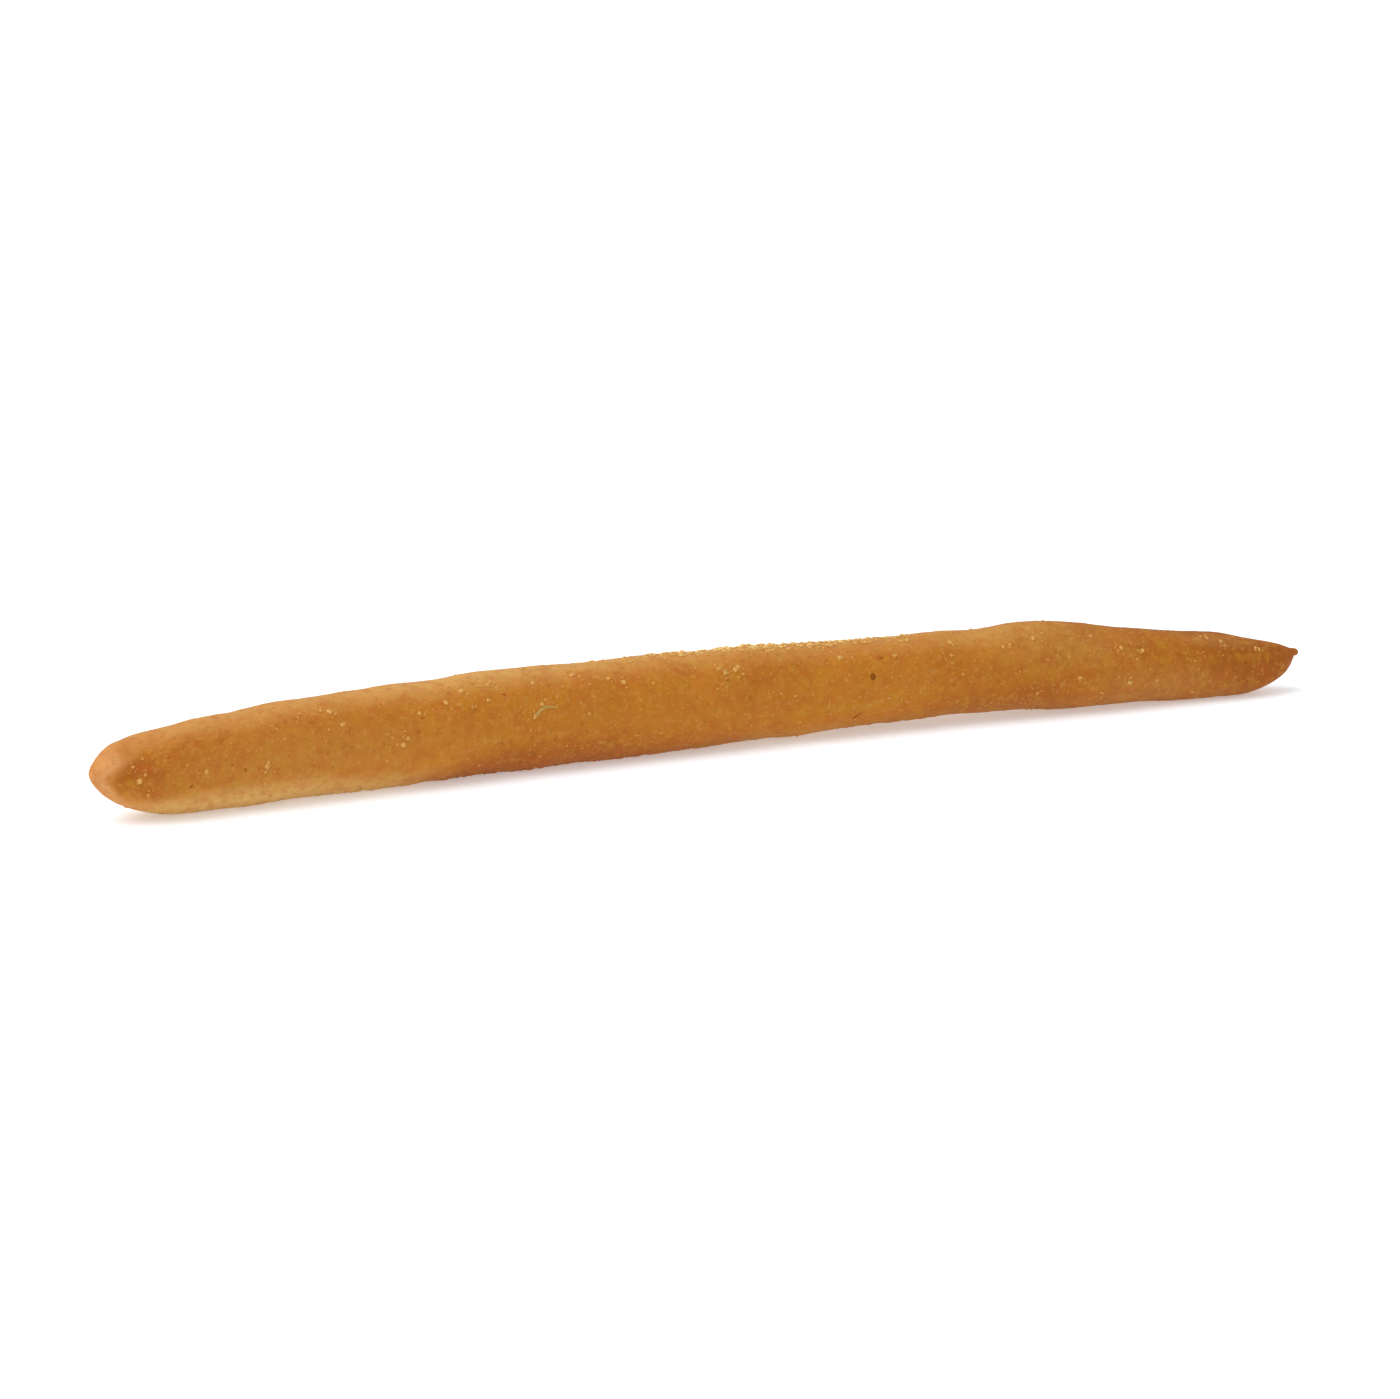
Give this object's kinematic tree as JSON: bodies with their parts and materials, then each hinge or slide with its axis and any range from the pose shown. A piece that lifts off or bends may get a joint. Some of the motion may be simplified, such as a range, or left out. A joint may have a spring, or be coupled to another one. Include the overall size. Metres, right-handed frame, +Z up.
{
  "type": "grissini breadstick",
  "caption": "Hand-rolled grissini breadstick, slightly bowed, with a blunt end and a pinched, pointed end, dusted with semolina.",
  "frame": {"origin": "bottom centre of the stick's box, on the surface it lies on", "axes": "+X along the stick from the blunt end towards the pinched tip, +Z up from the surface, +Y across, to the side it bows to"},
  "size_m": [0.185, 0.0172, 0.0141],
  "materials": {
    "crust": null
  },
  "bodies": {
    "root": {"breadstick": "crust"}
  },
  "joints": []
}
